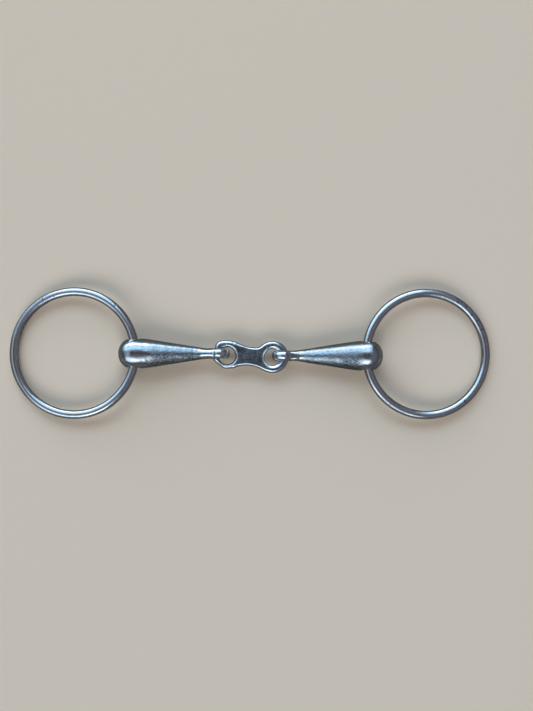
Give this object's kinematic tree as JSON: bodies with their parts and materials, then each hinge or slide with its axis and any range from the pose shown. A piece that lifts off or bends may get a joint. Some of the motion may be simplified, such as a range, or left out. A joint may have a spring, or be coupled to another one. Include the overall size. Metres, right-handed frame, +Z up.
{
  "type": "loose-ring snaffle bit",
  "caption": "Horse bit whose jointed mouthpiece has tapered arms and a flat centre link, with a loose round cheek ring sliding through each end.",
  "frame": {"origin": "on the table the bit lies on, midway between the two rings", "axes": "+X along the mouthpiece towards the right ring, +Y across the bit, +Z up from the table"},
  "size_m": [0.2764, 0.0754, 0.0177],
  "materials": {
    "ring_steel": "polished round stainless bar, lightly scratched, blue-grey",
    "arm_steel": "worn satin stainless steel with fine pits and dull grey patches",
    "link_steel": "flat faces dull slate grey and scratched, rounded edges polished bright by wear"
  },
  "bodies": {
    "link": {"centre_link": "link_steel"},
    "left_arm": {"left_mouth_arm": "arm_steel"},
    "right_arm": {"right_mouth_arm": "arm_steel"},
    "left_cheek": {"left_ring": "ring_steel"},
    "right_cheek": {"right_ring": "ring_steel"}
  },
  "joints": [
    {"name": "left_arm_fold", "type": "hinge", "parent": "link", "child": "left_arm", "pos_m": [-0.01845, 0.00005, 0.0063], "axis": [0, 1, 0], "range_deg": [-40, 45]},
    {"name": "right_arm_fold", "type": "hinge", "parent": "link", "child": "right_arm", "pos_m": [0.01845, -0.00125, 0.0063], "axis": [0, -1, 0], "range_deg": [-40, 45]},
    {"name": "left_ring_swing", "type": "hinge", "parent": "left_arm", "child": "left_cheek", "pos_m": [-0.06648, 0.00025, 0.00885], "axis": [0, 1, 0], "range_deg": [-90, 90]},
    {"name": "right_ring_swing", "type": "hinge", "parent": "right_arm", "child": "right_cheek", "pos_m": [0.06648, -0.00025, 0.00885], "axis": [0, -1, 0], "range_deg": [-90, 90]}
  ]
}
